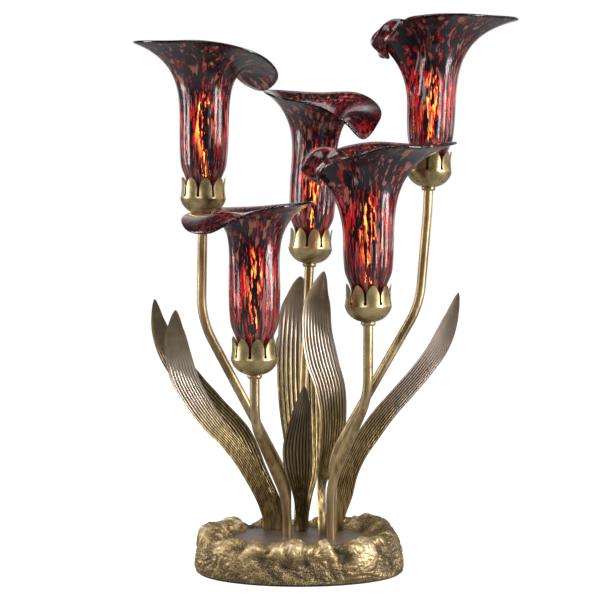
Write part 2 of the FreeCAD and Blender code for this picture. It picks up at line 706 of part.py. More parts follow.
# The neck's lower edge stands just over the bowl's inner arc.
neck_low = bowl_centre.z - math.sqrt((bowl_radius - cup_thickness) ** 2 - (neck_radius - bowl_centre.x) ** 2)
neck_low += seat_gap
tube_profile = [(neck_radius, neck_low), (neck_radius + 0.4, 0.5 * (neck_low + petal_waist_height)),
                (neck_mouth_radius, petal_waist_height + 6), (tube_radius - 2.2, tube_start_height),
                (tube_radius - 0.6, tube_start_height + 14), (tube_radius, flare_start_height)]
flare_steps = (0.16, 0.32, 0.48, 0.64, 0.82, 1.0)


def flare_point(start, end, lip, share):
    """Point of the flare: a cubic curve that leaves the tube upright and reaches the rim at
    the lip's angle; the further the lip turns over, the fuller the curve."""
    length = math.dist(start, end)
    fuller = 0.45 * max(0.0, lip - 60) / 100
    rise = (0.35 + fuller) * length
    pull = (0.45 + fuller) * length
    turn = math.radians(lip)
    handles = [start, (start[0], start[1] + rise),
               (end[0] - pull * math.sin(turn), end[1] - pull * math.cos(turn)), end]
    weights = [(1 - share) ** 3, 3 * share * (1 - share) ** 2, 3 * share ** 2 * (1 - share), share ** 3]
    return tuple(sum(w * handle[i] for w, handle in zip(weights, handles)) for i in (0, 1))


def shade_profile(rim, azimuth):
    """Outer profile of a shade, radius and height, at an azimuth."""
    reach, height, lip = around(rim, azimuth)
    start = tube_profile[-1]
    return tube_profile + [flare_point(start, (reach, height), lip, share) for share in flare_steps]


def shade_rings(rim, inset):
    """Rings of a shade's skin, moved in from the outer profile by an inset."""
    def point_on(row):
        def point(azimuth):
            profile = shade_profile(rim, azimuth)
            before = profile[max(row - 1, 0)]
            after = profile[min(row + 1, len(profile) - 1)]
            length = math.dist(before, after)
            radius = profile[row][0] - inset * (after[1] - before[1]) / length
            height = profile[row][1] + inset * (after[0] - before[0]) / length
            if row == 0:
                radius, height = profile[0][0] - inset, profile[0][1]
            turn = math.radians(azimuth)
            return Vector(radius * math.cos(turn), radius * math.sin(turn), height)
        return point
    return [closed_ring(point_on(row), 30) for row in range(len(tube_profile) + len(flare_steps))]


def glass_shade(rim):
    """Blown shade: outer skin, inner skin, and an edge at the neck and at the rim."""
    outer = shade_rings(rim, 0.0)
    inner = shade_rings(rim, glass_wall)
    faces = Part.makeLoft(outer, False, False).Faces + Part.makeLoft(inner, False, False).Faces
    for row in (0, -1):
        faces += Part.makeRuledSurface(outer[row].Edges[0], inner[row].Edges[0]).Faces
    return solid_through(faces)


for place, lamp in lamps.items():
    save("shade_" + place, seated(glass_shade(lamp["rim"]), lamp))
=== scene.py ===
import math

import bpy
import numpy as np
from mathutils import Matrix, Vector


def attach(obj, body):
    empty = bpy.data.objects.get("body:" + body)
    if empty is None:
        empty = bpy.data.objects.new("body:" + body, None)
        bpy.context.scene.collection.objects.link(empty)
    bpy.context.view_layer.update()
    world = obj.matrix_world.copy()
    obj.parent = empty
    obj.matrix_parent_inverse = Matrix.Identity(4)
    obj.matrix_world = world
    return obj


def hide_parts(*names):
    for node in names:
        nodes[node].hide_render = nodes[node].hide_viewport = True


# A table lamp: five blown glass lily shades in brass petal cups, on bent brass tubes that
# stand with six ribbed sheet-metal leaves in an oval, rock-like cast foot.
# Metres, +Z up, the front faces -Y.

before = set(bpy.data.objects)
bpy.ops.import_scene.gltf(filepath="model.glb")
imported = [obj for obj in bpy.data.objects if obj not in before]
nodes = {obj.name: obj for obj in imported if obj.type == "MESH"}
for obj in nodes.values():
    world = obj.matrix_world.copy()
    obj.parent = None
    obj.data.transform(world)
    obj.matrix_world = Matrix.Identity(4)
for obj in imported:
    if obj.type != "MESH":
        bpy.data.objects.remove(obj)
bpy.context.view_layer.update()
lamp_places = ["upper_left", "back", "upper_right", "lower_right", "lower_left"]

# --- Camera -------------------------------------------------------------------------------
# It stands 1.6 m in front of the lamp, a little above the middle, and looks slightly down.
camera = bpy.data.objects.new("camera", bpy.data.cameras.new("camera"))
camera.data.lens = 96.0
camera.data.sensor_width = 36.0
camera.location = (0.0005, -1.6, 0.39076)
camera.rotation_euler = (math.radians(90 - 4.111), 0, 0)
bpy.context.scene.collection.objects.link(camera)
bpy.context.scene.camera = camera
bpy.context.scene.view_settings.view_transform = "Standard"

# --- Rock casting -------------------------------------------------------------------------
# The foot is one hollow casting, an oval ring of rounded rock lumps round the flat plate.
# It is gilt over dark brown: the crests are lighter, part rubbed gilt and part painted highlight, and the hollows
# and pits stay dark.


class Finish:
    """A material in the making. add() makes one node: its kind, its settings, what goes in
    its sockets (a number, a colour or a Wire) and which output comes back."""

    def __init__(self, name):
        self.material = bpy.data.materials.new(name)
        self.material.use_nodes = True
        self.tree = self.material.node_tree
        self.tree.nodes.clear()
        self.out = self.tree.nodes.new("ShaderNodeOutputMaterial")

    def add(self, kind, settings=None, sockets=None, output=0):
        node = self.tree.nodes.new(kind)
        for setting, value in (settings or {}).items():
            if setting == "stops":
                for place, colour in value[2:]:
                    node.color_ramp.elements.new(place)
                for element, (place, colour) in zip(node.color_ramp.elements, sorted(value)):
                    element.position = place
                    element.color = (*colour, 1)
            else:
                setattr(node, setting, value)
        for socket, value in (sockets or {}).items():
            if isinstance(value, Wire):
                self.tree.links.new(value.socket, node.inputs[socket])
            elif isinstance(value, tuple) and len(value) == 3 and node.inputs[socket].type == "RGBA":
                node.inputs[socket].default_value = (*value, 1)
            else:
                node.inputs[socket].default_value = value
        return Wire(self, node.outputs[output])

    def attribute(self, name, output="Fac"):
        return self.add("ShaderNodeAttribute", {"attribute_name": name}, output=output)

    def place(self):
        return self.add("ShaderNodeTexCoord", output="Object")

    def stretch(self, at, scale, shift=(0, 0, 0)):
        return self.add("ShaderNodeMapping", {}, {"Vector": at, "Scale": scale, "Location": shift})

    def noise(self, at, scale, detail=3.0, roughness=0.55, distortion=0.0):
        return self.add("ShaderNodeTexNoise", {}, {"Vector": at, "Scale": scale, "Detail": detail,
                                                   "Roughness": roughness, "Distortion": distortion})

    def blend(self, share, first, second):
        return self.add("ShaderNodeMix", {"data_type": "RGBA"}, {0: share, 6: first, 7: second}, 2)

    def layer(self, share, under, over):
        return self.add("ShaderNodeMixShader", {}, {0: share, 1: under, 2: over})

    def bump(self, height, depth, strength=1.0):
        return self.add("ShaderNodeBump", {}, {"Height": height, "Distance": depth, "Strength": strength})

    def principled(self, **sockets):
        named = {socket.replace("_", " "): value for socket, value in sockets.items()}
        return self.add("ShaderNodeBsdfPrincipled", {}, named)

    def done(self, shader):
        self.tree.links.new(shader.socket, self.out.inputs["Surface"])
        return self.material


class Wire:
    """An output of a node. Arithmetic on it adds the Math node that works it out."""

    def __init__(self, finish, socket):
        self.finish = finish
        self.socket = socket

    def math(self, operation, *values):
        return self.finish.add("ShaderNodeMath", {"operation": operation}, dict(enumerate(values)))

    def __add__(self, other):
        return self.math("ADD", self, other)

    def __sub__(self, other):
        return self.math("SUBTRACT", self, other)

    def __rsub__(self, other):
        return self.math("SUBTRACT", other, self)

    def __mul__(self, other):
        return self.math("MULTIPLY", self, other)

    def __truediv__(self, other):
        return self.math("DIVIDE", self, other)

    def __pow__(self, other):
        return self.math("POWER", self, other)

    __radd__ = __add__
    __rmul__ = __mul__

    def least(self, other):
        return self.math("MINIMUM", self, other)

    def most(self, other):
        return self.math("MAXIMUM", self, other)

    def between(self, low, high):
        """0 below low, 1 above high, smooth in between."""
        return self.finish.add("ShaderNodeMapRange", {"interpolation_type": "SMOOTHSTEP"},
                               {"Value": self, "From Min": low, "From Max": high})


def smooth(value, low, high):
    """Smooth step of an array: 0 below low, 1 above high."""
    t = np.clip((value - low) / (high - low), 0, 1)
    return t * t * (3 - 2 * t)


def through(at, keys, values):
    """Smooth curve through keyed rows: a cubic whose slope at each key is that between its
    neighbours, worked out for every entry of at."""
    keys = np.asarray(keys, float)
    values = np.asarray(values, float).reshape(len(keys), -1)
    slopes = np.gradient(values, keys, axis=0)
    at = np.clip(at, keys[0], keys[-1])
    i = np.clip(np.searchsorted(keys, at, side="right") - 1, 0, len(keys) - 2)
    span = (keys[i + 1] - keys[i])[..., None]
    t = ((at - keys[i])[..., None]) / span
    return (values[i] * (1 + 2 * t) * (1 - t) ** 2 + slopes[i] * span * t * (1 - t) ** 2
            + values[i + 1] * t * t * (3 - 2 * t) - slopes[i + 1] * span * t * t * (1 - t))


def around(azimuth, keys):
    """The same curve through keys (degrees, values) that go once round and close."""
    rows = np.asarray(keys, float)
    rows = np.vstack([rows[-2:] - [360] + 0 * rows[-2:] if rows.shape[1] == 1 else
                      np.column_stack([rows[-2:, 0] - 360, rows[-2:, 1:]]), rows,
                      np.column_stack([rows[:2, 0] + 360, rows[:2, 1:]])])
    return through(np.mod(azimuth, 360), rows[:, 0], rows[:, 1:])


def skin(name, points, body, finish, fields=None, round_rows=False, round_columns=True):
    """Mesh over a grid of points, rows by columns, closed round the columns and, if asked,
    round the rows. Its faces look along columns x rows. Fields become its attributes."""
    rows, columns = points.shape[:2]
    index = np.arange(rows * columns).reshape(rows, columns)
    if round_columns:
        index = np.hstack([index, index[:, :1]])
    if round_rows:
        index = np.vstack([index, index[:1]])
    quads = np.stack([index[:-1, :-1], index[:-1, 1:], index[1:, 1:], index[1:, :-1]], -1).reshape(-1, 4)
    mesh = bpy.data.meshes.new(name)
    mesh.vertices.add(rows * columns)
    mesh.vertices.foreach_set("co", points.astype(np.float32).ravel())
    mesh.loops.add(quads.size)
    mesh.loops.foreach_set("vertex_index", quads.astype(np.int32).ravel())
    mesh.polygons.add(len(quads))
    mesh.polygons.foreach_set("loop_start", np.arange(0, quads.size, 4, dtype=np.int32))
    mesh.polygons.foreach_set("use_smooth", np.ones(len(quads), bool))
    mesh.update(calc_edges=True)
    for field, values in (fields or {}).items():
        values = np.broadcast_to(values, (rows, columns) + values.shape[2:])
        if values.ndim == 3:
            mesh.attributes.new(field, "FLOAT_VECTOR", "POINT").data.foreach_set(
                "vector", values.astype(np.float32).ravel())
        else:
            mesh.attributes.new(field, "FLOAT", "POINT").data.foreach_set(
                "value", values.astype(np.float32).ravel())
    mesh.materials.append(finish)
    piece = bpy.data.objects.new(name, mesh)
    bpy.context.scene.collection.objects.link(piece)
    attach(piece, body)
    return piece


def grain(points, size, seed):
    """Smooth uneven grain between -1 and 1: sines along seeded directions, each bent by the
    one before, with waves about as long as size."""
    dice = np.random.default_rng(seed)
    bent = points / size
    total = np.zeros(points.shape[:-1])
    for octave in range(5):
        direction = dice.normal(size=(3, 3))
        phase = dice.uniform(0, 6.28, 3)
        wave = np.sin(bent @ direction.T * 3.2 + phase)
        bent = bent + 0.35 * wave
        total += wave.sum(-1)
    return np.tanh(total / 5)


ring_length, ring_width = 0.210, 0.134
plate_length, plate_width = 0.1326, 0.0986
crest = [(0, 46), (30, 46), (60, 40), (90, 39), (120, 40), (150, 41), (180, 44), (205, 38),
         (230, 35), (270, 35), (310, 35), (335, 39)]
# where each lump sits (azimuth, share of the way in), how wide and how high it is in mm
lumps = [(178, 0.40, 15, 5), (196, 0.30, 9, 2), (160, 0.55, 8, 2), (143, 0.50, 12, 6), (150, 0.85, 6, 3),
         (128, 0.60, 8, -4), (112, 0.45, 9, 3), (95, 0.5, 8, 2), (76, 0.5, 9, 3), (60, 0.6, 8, 4),
         (43, 0.5, 14, 5), (30, 0.75, 7, -3), (18, 0.45, 12, 3), (0, 0.5, 12, -2), (345, 0.5, 10, 2),
         (330, 0.35, 6, 3.5), (322, 0.25, 4, -3), (309, 0.30, 17, 6), (303, 0.85, 10, -4), (296, 0.50, 6, -7),
         (296, 0.20, 5, -5), (288, 0.30, 7, 4.5), (286, 0.75, 7, 6), (277, 0.30, 6, 3), (273, 0.12, 3, -3),
         (267, 0.78, 10, 8), (262, 0.10, 6, -4), (256, 0.38, 6, 5), (249, 0.85, 5, 4), (246, 0.20, 5, -3),
         (240, 0.40, 8, 4), (234, 0.85, 5, 3), (229, 0.42, 6, -3), (217, 0.35, 13, 4), (206, 0.6, 8, -5)]

azimuth = np.arange(720) * 0.5
steps = np.concatenate([np.linspace(0, 0.3, 34), np.linspace(0.31, 1.0, 52)])
# the ring's profile: share of the way in and share of the crest's height, by step
across, climb = through(steps, [0, 0.10, 0.24, 0.40, 0.54, 0.68, 0.82, 1.0],
                        [(0, 0), (0.0, 0.28), (0.035, 0.52), (0.11, 0.76), (0.24, 0.93), (0.45, 1.0),
                         (0.72, 0.99), (1.0, 0.9)]).T
turn = np.radians(azimuth)
top = around(azimuth, crest)[:, 0] / 1000


def rock(turn_grid, across_grid, climb_grid, top_grid):
    """Oval ring: the plan shrinks from the outer to the opening's oval, the height climbs
    from the felt to the crest and settles to the plate's level at the opening."""
    outer = np.stack([ring_length / 2 * np.cos(turn_grid), ring_width / 2 * np.sin(turn_grid)], -1)
    opening = np.stack([plate_length / 2 * np.cos(turn_grid), plate_width / 2 * np.sin(turn_grid)], -1)
    plan = outer + (opening - outer) * across_grid[..., None]
    height = 0.002 + (top_grid - 0.002) * climb_grid
    settle = smooth(across_grid, 0.45, 1.0)
    height = height + (0.0354 - height) * settle
    return np.concatenate([plan, height[..., None]], -1)


shape = rock(turn[None], across[:, None], climb[:, None], top[None])
along = np.gradient(shape, axis=1)
up_slope = np.gradient(shape, axis=0)
outward = np.cross(along, up_slope)
outward /= np.linalg.norm(outward, axis=-1, keepdims=True)
swell = np.zeros(shape.shape[:2])
for lump_azimuth, share, width, height in lumps:
    lump_turn = math.radians(lump_azimuth)
    far_from_row = across - share if share > 0.25 else climb - (0.35 + 2 * share)
    row = np.abs(far_from_row).argmin()
    centre = shape[row, int(lump_azimuth * 2) % 720]
    far = np.linalg.norm(shape - centre, axis=-1) / (width / 1000)
    swell += 1.25 * height / 1000 * np.exp(-(far / 1.2) ** 2.6)
swell += (0.0020 * grain(shape * [1, 1, 0.5], 0.026, 11)
          + 0.0011 * grain(shape, 0.016, 4) + 0.0005 * grain(shape, 0.006, 9))
edge = smooth(steps, 0.0, 0.06)[:, None] * (1 - smooth(steps, 0.93, 1.0))[:, None]
swell *= edge
shape = shape + outward * swell[..., None]
# the inlet's seat is a round flat in the back wall
back = shape[..., 1] > 0.05
seat_far = np.hypot(shape[..., 0], shape[..., 2] - 0.014)
shape[..., 1] = np.where(back, np.minimum(shape[..., 1], 0.063 + 0.9 * np.maximum(seat_far - 0.0088, 0)),
                         shape[..., 1])
proud_field = 0.35 * swell / 0.004
inside = []
for half_length, half_width, height in ((0.0663, 0.0493, 0.0331), (0.062, 0.045, 0.0331),
                                        (0.062, 0.045, 0.029), (0.091, 0.053, 0.029),
                                        (0.096, 0.058, 0.0021)):
    inside.append(np.stack([half_length * np.cos(turn), half_width * np.sin(turn), 0 * turn + height], -1))
shape = np.concatenate([shape, np.stack(inside)])
proud_field = np.concatenate([proud_field, -1 + 0 * proud_field[:len(inside)]])

gilt = Finish("gilt rock")
at = gilt.place()
speck = gilt.noise(at, 800.0, 2.0, 0.6)
blotch = gilt.noise(at, 62.0, 4.0, 0.6)
proud = gilt.attribute("proud")
worn = (proud * 0.9 + blotch * 0.9).between(0.30, 0.85)
pits = (speck + worn * 0.16).between(0.47, 0.60)
hollow = (proud + blotch * 0.5).between(-0.35, 0.25)
mid = gilt.blend(blotch.between(0.35, 0.65), (0.28, 0.19, 0.075), (0.46, 0.335, 0.155))
# painted highlight with rubbed gilt: the crests of the lumps turn a light gold
bright = gilt.blend((proud + blotch * 0.4).between(0.35, 0.95), mid, (0.70, 0.54, 0.31))
colour = gilt.blend(pits * hollow, (0.040, 0.025, 0.012), bright)
rough = 0.52 - pits * hollow * 0.2
rock_finish = gilt.done(gilt.principled(
    Base_Color=colour, Metallic=0.75 * (pits * hollow) + 0.15, Roughness=rough,
    Normal=gilt.bump(speck + blotch * 1.5, 0.0006)))
casting = skin("rock_ring", shape, "root", rock_finish, {"proud": proud_field}, round_rows=True)
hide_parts("base_casting")

# --- Plate, felt and what the foot holds ---------------------------------------------------
# The plate is a flat steel oval sprayed a satin taupe. Under the casting lie a black felt,
# the steel cover, an iron weight and a moulded board and inlet bush.


def dress(finish, *names):
    """Give CAD nodes a finish in place of their plain one."""
    for name in names:
        node = nodes[name]
        node.data.materials.clear()
        node.data.materials.append(finish)


def plain_finish(name, light, dark, metallic, roughness, scale, depth, mottle=0.5):
    """A finish whose colour goes between two shades in a grain of the given scale."""
    made = Finish(name)
    at = made.place()
    fine_grain = made.noise(at, scale, 4.0, 0.6)
    cloud = made.noise(at, scale * 0.12, 3.0, 0.5)
    share = (fine_grain * (1 - mottle) + cloud * mottle).between(0.36, 0.64)
    return made.done(made.principled(
        Base_Color=made.blend(share, dark, light), Metallic=metallic,
        Roughness=roughness + 0.12 * cloud, Normal=made.bump(fine_grain, depth)))


dress(plain_finish("taupe plate", (0.18, 0.135, 0.10), (0.11, 0.083, 0.062), 0.35, 0.42, 900.0, 0.00006),
      "base_plate")
dress(plain_finish("black felt", (0.030, 0.028, 0.026), (0.012, 0.011, 0.010), 0.0, 0.85, 1500.0, 0.0005),
      "felt_pad")
dress(plain_finish("black steel", (0.09, 0.09, 0.09), (0.05, 0.05, 0.05), 0.6, 0.4, 700.0, 0.0001),
      "bottom_cover")
dress(plain_finish("cast iron", (0.13, 0.12, 0.11), (0.06, 0.055, 0.05), 0.5, 0.6, 400.0, 0.0004),
      "ballast_weight")
dress(plain_finish("dark moulding", (0.05, 0.045, 0.04), (0.03, 0.027, 0.025), 0.0, 0.4, 800.0, 0.00008),
      "terminal_board", "cord_inlet_bush", *["lamp_holder_" + place for place in lamp_places])
dress(plain_finish("zinc", (0.62, 0.62, 0.60), (0.45, 0.45, 0.44), 0.9, 0.35, 900.0, 0.00005),
      "cover_screws", "plate_screws", "stem_nuts", "stem_washers", "cup_nuts")
dress(plain_finish("amber lead", (0.24, 0.15, 0.07), (0.16, 0.10, 0.05), 0.0, 0.35, 600.0, 0.00003),
      "stem_leads")

# --- Stems and collars --------------------------------------------------------------------
# Drawn brass tube, bent cold and browned; faint draw lines run along it, and rubbing has
# left lighter gold in cloudy patches. The collars are turned from the same brass.
tube = Finish("browned tube")
at = tube.place()
lines = tube.noise(tube.stretch(at, (260.0, 260.0, 16.0)), 1.0, 3.0, 0.6)
cloud = tube.noise(at, 24.0, 4.0, 0.6)
rub = (lines * 0.5 + cloud * 0.7).between(0.45, 0.75)
brown = tube.blend(rub, (0.22, 0.15, 0.07), (0.52, 0.38, 0.20))
dress(tube.done(tube.principled(Base_Color=brown, Metallic=0.9, Roughness=0.30 + 0.12 * cloud,
                                Normal=tube.bump(lines, 0.00008))),
      "collars", *["stem_" + place for place in lamp_places])

# --- Leaves -------------------------------------------------------------------------------
# Six leaves pressed from brass sheet: a shallow channel open to the front, with bold reeds
# along it that fade towards the tip and the edges. The valleys between the reeds are painted
# shade, and a painted pale reflection lies across some leaves; the sheet is dull brown towards
# the tip and lighter gold towards the foot. Each stalk goes down through a slot of the plate.
leaf_sheet = 0.0012
# pale sets a painted pale reflection down the leaf (where along it, how strong, how wide), and the share after it
# deepens the painted shade all over the leaf.
leaves = {
    "left_back": dict(channel=0.25, foot=(-15.5, 37.0, 6.0), reeds=9, start=0.14,
        pale=(0.5, 0.0, 0.2), browned=0.25, rows=[
        (-147.7, 26.0, 275.0, 0.3), (-144.0, 26.0, 251.0, 7.6), (-134.0, 27.0, 222.5, 12.3),
        (-112.5, 28.0, 191.5, 16.9), (-94.0, 29.0, 170.5, 17.4), (-66.0, 30.5, 139.0, 16.4),
        (-45.0, 33.0, 97.5, 12.9), (-32.0, 35.0, 74.0, 10.0), (-21.0, 37.5, 53.0, 7.0)]),
    "left_front": dict(channel=0.25, foot=(-27.5, 30.0, 9.0), reeds=10, start=0.15,
        pale=(0.30, 0.75, 0.12), browned=0.0, rows=[
        (-122.0, -30.0, 268.0, 0.3), (-122.3, -28.0, 246.0, 9.4), (-119.5, -25.0, 221.0, 13.4),
        (-113.0, -21.0, 197.5, 14.4), (-101.5, -16.0, 175.0, 14.5), (-85.0, -8.0, 150.5, 13.5),
        (-67.0, 0.0, 129.0, 12.3), (-51.0, 10.0, 105.0, 11.5), (-41.0, 18.0, 82.5, 9.5),
        (-32.0, 26.0, 59.5, 9.2)]),
    "tall_back": dict(channel=0.25, foot=(2.5, 43.0, 6.8), reeds=10, start=0.10,
        pale=(0.18, 0.5, 0.10), browned=0.0, rows=[
        (1.0, 96.0, 294.0, 0.3), (0.5, 98.0, 266.5, 18.0), (-0.5, 97.0, 231.5, 22.4),
        (-0.8, 91.0, 194.5, 23.1), (0.5, 81.0, 158.5, 22.2), (3.0, 68.5, 123.0, 19.5),
        (5.0, 56.5, 93.0, 15.5), (3.5, 48.5, 68.0, 10.0)]),
    "tall_front": dict(channel=0.25, foot=(23.5, 5.0, 4.4), reeds=10, start=0.12,
        pale=(0.32, 0.8, 0.12), browned=0.0, rows=[
        (25.0, 40.0, 302.5, 0.3), (18.5, 38.0, 273.0, 12.8), (18.0, 37.0, 242.0, 15.4),
        (23.5, 36.0, 211.0, 17.0), (31.0, 35.0, 185.5, 15.9), (34.5, 34.5, 158.0, 13.9),
        (33.5, 33.0, 131.5, 12.0), (29.5, 29.0, 107.0, 9.5), (23.0, 22.0, 87.0, 5.0),
        (22.5, 13.0, 66.0, 4.4)]),
    "short_front": dict(channel=0.45, foot=(1.5, 24.0, 5.6), reeds=9, start=0.08,
        pale=(0.5, 0.0, 0.2), browned=0.5, rows=[
        (5.0, -4.0, 189.5, 0.3), (3.5, -3.0, 173.0, 7.0), (0.2, -2.0, 149.5, 11.8),
        (-2.2, 0.0, 126.0, 14.8), (-1.5, 3.0, 105.0, 13.6), (0.5, 9.0, 83.0, 8.6),
        (1.5, 17.5, 61.0, 5.8)]),
    "right": dict(channel=0.25, foot=(38.0, 27.5, 6.4), reeds=9, start=0.16,
        pale=(0.28, 1.0, 0.17), browned=0.0, rows=[
        (158.0, -15.0, 284.0, 0.3), (150.0, -13.0, 256.5, 8.0), (138.0, -10.0, 228.5, 11.5),
        (122.0, -6.0, 205.0, 12.5), (105.0, -1.0, 184.0, 13.1), (87.5, 4.0, 163.0, 13.1),
        (71.0, 10.0, 139.5, 12.7), (57.5, 16.0, 115.0, 10.4), (49.5, 22.0, 93.5, 9.8),
        (45.0, 26.0, 73.0, 9.6), (40.2, 27.5, 52.0, 7.2)]),
}

patina = Finish("reeded leaf")
at = patina.place()
down = patina.attribute("down")
reed = patina.attribute("reed")
brush = patina.noise(patina.stretch(at, (420.0, 420.0, 40.0)), 1.0, 3.0, 0.6)
cloud = patina.noise(at, 30.0, 4.0, 0.6)
gold_share = (down * 1.3 + cloud * 0.8 + brush * 0.3).between(0.75, 1.45)
smooth_tip = patina.blend(cloud.between(0.35, 0.7), (0.20, 0.15, 0.09), (0.36, 0.285, 0.19))
gold = patina.blend(brush.between(0.4, 0.65), (0.30, 0.21, 0.09), (0.64, 0.48, 0.23))
body = patina.blend(gold_share, smooth_tip, gold)
# painted reflection: a pale pinkish band down the leaf, where its pale field is set
body = patina.blend(patina.attribute("pale") * (0.6 + cloud * 0.6), body, (0.80, 0.66, 0.57))
# painted shade: the valleys between the reeds turn near-black brown, deeper on leaves given more darkening
shade = (reed + brush * 0.35).between(-0.55, 0.45)
patina_finish = patina.done(patina.principled(
    Base_Color=patina.blend(shade * (1 - patina.attribute("browned")), (0.020, 0.013, 0.007), body),
    Metallic=0.85,
    Roughness=0.44 - shade * 0.14, Normal=patina.bump(brush + cloud, 0.00012)))


def leaf(place, channel, foot, reeds, start, pale, browned, rows):
    """Closed sheet along the leaf's middle line. Across it the sheet is an arc, deeper in the
    middle by a share of its half width; the reeds stand out of its front as rounded waves."""
    keys = np.array(rows + [(foot[0], foot[1], height, foot[2])
                            for height in (41.0, 36.0, 33.0, 30.0)]) / 1000
    length = np.concatenate([[0], np.cumsum(np.linalg.norm(np.diff(keys[:, :3], axis=0), axis=1))])
    at = np.concatenate([np.linspace(0, 0.06, 24) ** 1.4 / 0.06 ** 0.4,
                         np.linspace(0.064, 1, 200)]) * length[-1]
    middle = through(at, length, keys)
    centre, level = middle[:, :3], np.maximum(middle[:, 3], 0.0003)
    rounded = 0.96 * keys[1, 3] * np.clip(at / length[1], 0, 1) ** 0.62
    level = np.where(at < length[1], np.maximum(level, rounded), level)
    along = np.gradient(centre, at + 1e-9 * np.arange(len(at)), axis=0)
    along /= -np.linalg.norm(along, axis=1, keepdims=True)
    half = level * along[:, 2] / np.hypot(along[:, 0], along[:, 2])
    facing = np.array([0, -1.0, 0]) - along * (-along[:, 1:2])
    facing /= np.linalg.norm(facing, axis=1, keepdims=True)
    side = np.cross(along, facing)
    share = at / length[-1]
    u = np.sin(np.linspace(math.pi / 2, -math.pi / 2, 80)) * 0.35 + np.linspace(1, -1, 80) * 0.65
    wave = 0.5 + 0.5 * np.cos(math.pi * reeds * u)
    bold = smooth(share, start, start + 0.16) * (1 - smooth(share, 0.80, 0.92))
    bold = bold[:, None] * (1 - smooth(np.abs(u), 0.80, 0.97))
    height = (np.abs(wave) ** 0.7 - 0.5) * bold
    deep = np.minimum(half / 0.012, 1)[:, None] * 0.0011
    front = (centre[:, None] + side[:, None] * (half[:, None] * u)[..., None]
             + facing[:, None] * (channel * half[:, None] * u ** 2 + deep * height)[..., None])
    thin = leaf_sheet * np.sqrt(np.clip(1 - np.abs(u) ** 14, 0.0, 1))
    thick = facing[:, None] * np.broadcast_to(thin * 0.85 + 0.00018, height.shape)[..., None]
    back_skin = (front - thick)[:, ::-1]
    points = np.concatenate([front, back_skin], 1)
    reed_field = np.concatenate([2 * height, 0 * height - 0.1], 1)
    down_field = np.broadcast_to(share[:, None], reed_field.shape)
    painted_reflection_field = pale[1] * np.exp(-((down_field - pale[0]) / pale[2]) ** 2)
    ends = [np.broadcast_to(points[row].mean(0), points[row].shape)[None] for row in (0, -1)]
    points = np.concatenate([ends[0], points, ends[1]])
    reed_field = np.concatenate([reed_field[:1], reed_field, reed_field[-1:]])
    down_field = np.concatenate([down_field[:1], down_field, down_field[-1:]])
    painted_reflection_field = np.concatenate([painted_reflection_field[:1], painted_reflection_field, painted_reflection_field[-1:]])
    piece = skin("pressed_leaf_" + place, points, "root", patina_finish,
                 {"reed": reed_field, "down": down_field,
                  "pale": painted_reflection_field, "browned": browned + 0 * down_field})
    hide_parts("leaf_" + place)


for place, sizes in leaves.items():
    leaf(place, **sizes)

# --- Petal cups ---------------------------------------------------------------------------
# Each cup is spun from brass sheet, then its wall is slit into nine pointed petals. The slits
# end in drilled holes. Antique finish, mottled between light gold and brown.
cup_finish = Finish("antique cup")
at = cup_finish.place()
cloud = cup_finish.noise(at, 45.0, 4.0, 0.6)
fine_grain = cup_finish.noise(at, 700.0, 2.0, 0.6)
cup_colour = cup_finish.blend((cloud + fine_grain * 0.25).between(0.42, 0.75),
                              (0.21, 0.15, 0.067), (0.57, 0.435, 0.215))
antique = cup_finish.done(cup_finish.principled(
    Base_Color=cup_colour, Metallic=0.95, Roughness=0.24 + 0.14 * cloud,
    Normal=cup_finish.bump(fine_grain, 0.00004)))
dress(antique, *["cup_" + place for place in lamp_places])

# --- Candle bulbs -------------------------------------------------------------------------
# Clear blown candle bulbs with a bright metal cap and two upright filament rods, lit. Each is
# screwed into the holder in its cup.
dress(plain_finish("bright cap", (0.78, 0.76, 0.70), (0.66, 0.64, 0.58), 0.95, 0.28, 900.0, 0.00004),
      *["bulb_cap_" + place for place in lamp_places])
lit = Finish("lit filament")
at = lit.place()
heat = lit.noise(at, 300.0, 2.0, 0.5)
warm = lit.blend(heat.between(0.3, 0.7), (1.0, 0.52, 0.20), (1.0, 0.66, 0.34))
dress(lit.done(lit.principled(Base_Color=(0.9, 0.7, 0.5), Emission_Color=warm, Emission_Strength=60.0)),
      *["bulb_filaments_" + place for place in lamp_places])
# the top of each stem, where its cup stands, and a point of the stem's axis below it (mm)
seats = {
    "upper_left": [(-97.0, 8.0, 362.0), (-99.0, 8.0, 255.5)],
    "back": [(10.5, 76.0, 309.0), (5.2, 72.0, 202.0)],
    "upper_right": [(131.5, 35.0, 389.0), (130.8, 35.0, 366.0)],
    "lower_right": [(66.5, -58.0, 259.0), (66.5, -58.0, 185.5)],
    "lower_left": [(-43.0, -75.0, 209.5), (-43.0, -75.0, 161.0)],
}


def bulb_finish(place):
    """Clear glass, faintly dusty, that glows round the filaments 92 mm above the cup's floor."""
    clear_bulb = Finish("clear bulb glass " + place)
    facing = clear_bulb.add("ShaderNodeLayerWeight", {}, {"Blend": 0.5}, "Facing")
    at = clear_bulb.place()
    level = clear_bulb.add("ShaderNodeSeparateXYZ", {}, {"Vector": at}, "Z")
    off = (level - seats[place][0][2] / 1000 - 0.092) / 0.021
    dust = clear_bulb.noise(at, 200.0, 3.0, 0.6)
    see_through = clear_bulb.add("ShaderNodeBsdfTransparent", {}, {"Color": (0.97, 0.96, 0.95)})
    shine = clear_bulb.add("ShaderNodeBsdfGlossy", {}, {"Color": (1, 1, 1), "Roughness": 0.05})
    haze = clear_bulb.add("ShaderNodeEmission", {}, {"Color": (1.0, 0.62, 0.34), "Strength": 34.0})
    glow = off.math("EXPONENT", off * off * -1.0) * ((1.0 - facing) ** 5.0)
    hazy = clear_bulb.layer(glow * (0.3 + dust), see_through, haze)
    return clear_bulb.done(clear_bulb.layer((facing ** 3.0) * (0.5 + dust * 0.3) + 0.03, hazy, shine))


for place in lamp_places:
    dress(bulb_finish(place), "bulb_glass_" + place)

